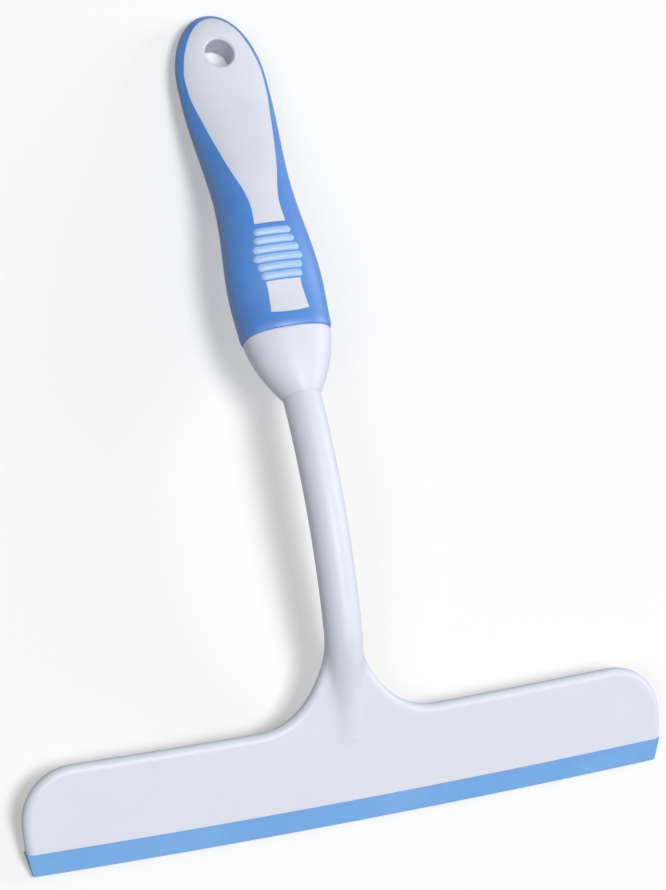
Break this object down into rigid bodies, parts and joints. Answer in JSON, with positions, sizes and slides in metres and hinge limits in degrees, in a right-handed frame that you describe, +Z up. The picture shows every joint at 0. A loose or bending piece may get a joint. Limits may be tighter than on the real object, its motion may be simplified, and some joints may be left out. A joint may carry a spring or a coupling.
{
  "type": "window cleaning squeegee",
  "caption": "T-shaped hand squeegee: wide white head with a blue rubber blade, arched shaft, soft blue grip with white thumb fields and a hang hole.",
  "frame": {"origin": "middle of the bounding box's underside: the squeegee lies on its back, on the foot of its head and on the back of its grip", "axes": "+X along the blade, +Y from the wiping edge along the handle to its tip, +Z up, out of the front (thumb) side"},
  "size_m": [0.2512, 0.3092, 0.0428],
  "materials": {
    "white_plastic": "satin moulded polypropylene",
    "grip_rubber": "soft satin thermoplastic elastomer",
    "blade_rubber": "smooth satin",
    "screw_steel": "zinc plated"
  },
  "bodies": {
    "squeegee": {"head_and_shaft": "white_plastic", "blade_clamp_strip": "white_plastic", "blade_root": "blade_rubber", "neck_collar": "white_plastic", "handle_front_shell": "white_plastic", "handle_back_shell": "white_plastic", "grip_sleeve": "grip_rubber", "handle_screw_1": "screw_steel", "handle_screw_2": "screw_steel"},
    "lip": {"blade_lip": "blade_rubber"}
  },
  "joints": [
    {"name": "blade_flex", "type": "hinge", "parent": "squeegee", "child": "lip", "pos_m": [0, -0.14899, 0.00343], "axis": [1, 0, 0], "range_deg": [-30, 30], "stiffness_Nm_per_rad": 1.5}
  ]
}
